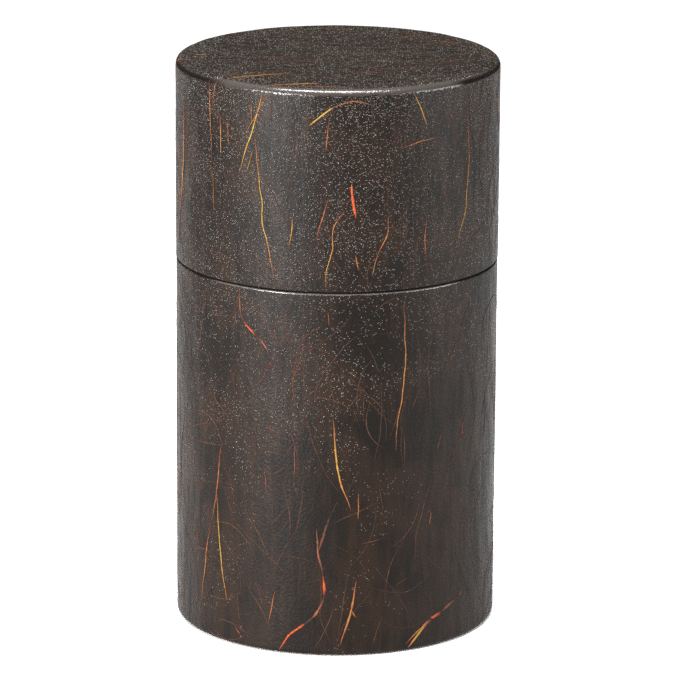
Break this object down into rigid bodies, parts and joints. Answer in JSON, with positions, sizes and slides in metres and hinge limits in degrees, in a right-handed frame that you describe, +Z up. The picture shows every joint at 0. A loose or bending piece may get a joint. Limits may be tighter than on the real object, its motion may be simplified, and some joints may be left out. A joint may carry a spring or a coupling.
{
  "type": "tea caddy",
  "caption": "Round tea caddy with a deep slip-over lid, an inner can whose collar guides the lid, and a knobbed inner lid, covered with lacquered long-fibre paper.",
  "frame": {"origin": "centre of the foot, on the surface that the caddy stands on", "axes": "+Z up along the caddy's axis, towards the lid; +X to the right and -Y towards the viewer"},
  "size_m": [0.0802, 0.0802, 0.1425],
  "materials": {
    "lacquered_paper": "dark brown lacquer over long-fibre paper, satin",
    "tube_wood": "brown-black lacquer on wood",
    "tinplate": "bright tinplate",
    "knob_lacquer": "gloss black-brown lacquer on turned wood",
    "brass": "plain brass",
    "lining_paper": "dark red lacquered paper lining"
  },
  "bodies": {
    "body": {"body_tube": "tube_wood", "body_side_paper": "lacquered_paper", "base_board": "tube_wood", "base_paper": "lacquered_paper", "can_wall": "tinplate", "can_bottom": "tinplate"},
    "inner_lid": {"inner_lid_plate": "tinplate", "inner_lid_knob": "knob_lacquer", "knob_washer": "brass", "knob_screw": "brass"},
    "lid": {"lid_tube": "tube_wood", "lid_top_board": "tube_wood", "lid_side_paper": "lacquered_paper", "lid_top_paper": "lacquered_paper", "lid_lining": "lining_paper", "lid_ceiling_paper": "lining_paper"}
  },
  "joints": [
    {"name": "inner_lid_lift", "type": "slide", "parent": "body", "child": "inner_lid", "axis": [0, 0, 1], "range_m": [0, 0.08]},
    {"name": "lid_lift", "type": "slide", "parent": "inner_lid", "child": "lid", "axis": [0, 0, 1], "range_m": [0, 0.1]}
  ]
}
